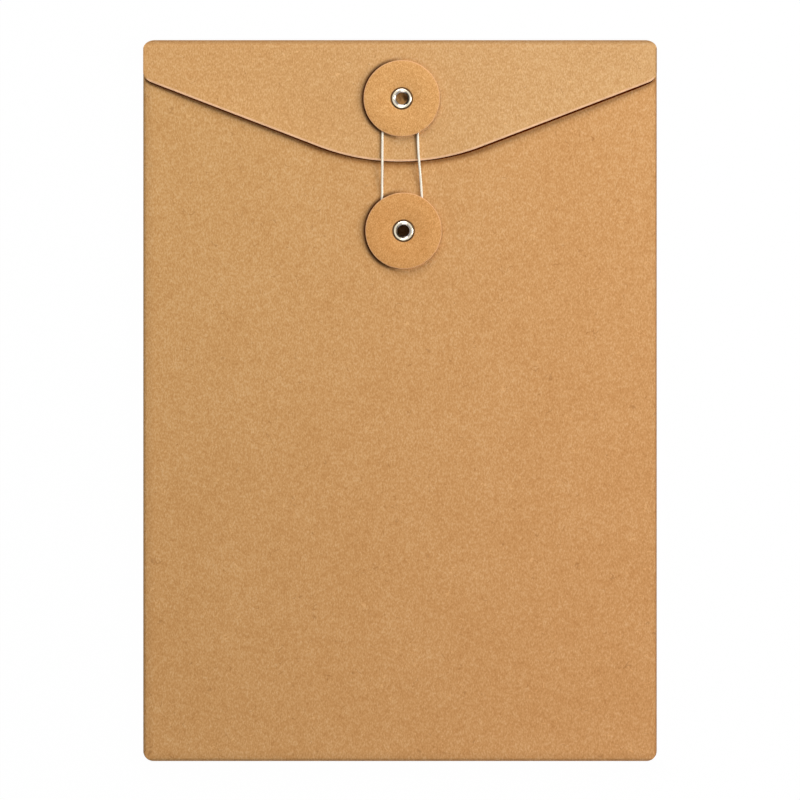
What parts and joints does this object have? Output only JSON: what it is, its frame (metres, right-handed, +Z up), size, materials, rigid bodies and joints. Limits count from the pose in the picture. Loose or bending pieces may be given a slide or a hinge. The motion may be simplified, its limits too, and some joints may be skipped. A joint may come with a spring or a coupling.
{
  "type": "string tie envelope",
  "caption": "Flat kraft card document envelope with a shaped flap, tied shut by a white string wound between turning card discs on metal eyelets.",
  "frame": {"origin": "under the middle of the envelope, on the surface that its back panel lies on", "axes": "+X across the width, +Y up the envelope to the flap fold, +Z up through its thickness, out of the flap's side"},
  "size_m": [0.235, 0.33, 0.0095],
  "materials": {
    "kraft_card": "matte",
    "disc_card": "matte",
    "nickel": "polished",
    "white_cotton": "matte",
    "dried_glue": "matte"
  },
  "bodies": {
    "pocket": {"back_panel": "kraft_card", "front_panel": "kraft_card", "bottom_fold": "kraft_card", "left_side_fold": "kraft_card", "right_side_fold": "kraft_card", "left_glue_tab": "kraft_card", "right_glue_tab": "kraft_card", "left_seam_glue": "dried_glue", "right_seam_glue": "dried_glue", "flap_fold": "kraft_card", "pocket_eyelet": "nickel"},
    "flap": {"flap": "kraft_card", "flap_eyelet": "nickel", "tie_string": "white_cotton", "string_knot": "white_cotton"},
    "flap_disc": {"flap_disc": "disc_card"},
    "pocket_disc": {"pocket_disc": "disc_card"}
  },
  "joints": [
    {"name": "flap_hinge", "type": "hinge", "parent": "pocket", "child": "flap", "pos_m": [0, 0.16155, 0.00345], "axis": [-1, 0, 0], "range_deg": [0, 160], "deforming": ["flap_fold", "tie_string"]},
    {"name": "flap_disc_spin", "type": "hinge", "parent": "flap", "child": "flap_disc", "pos_m": [0.0008, 0.1381, 0.00854], "axis": [0, 0, 1], "continuous": true},
    {"name": "pocket_disc_spin", "type": "hinge", "parent": "pocket", "child": "pocket_disc", "pos_m": [0.0016, 0.0776, 0.00704], "axis": [0, 0, 1], "continuous": true}
  ]
}
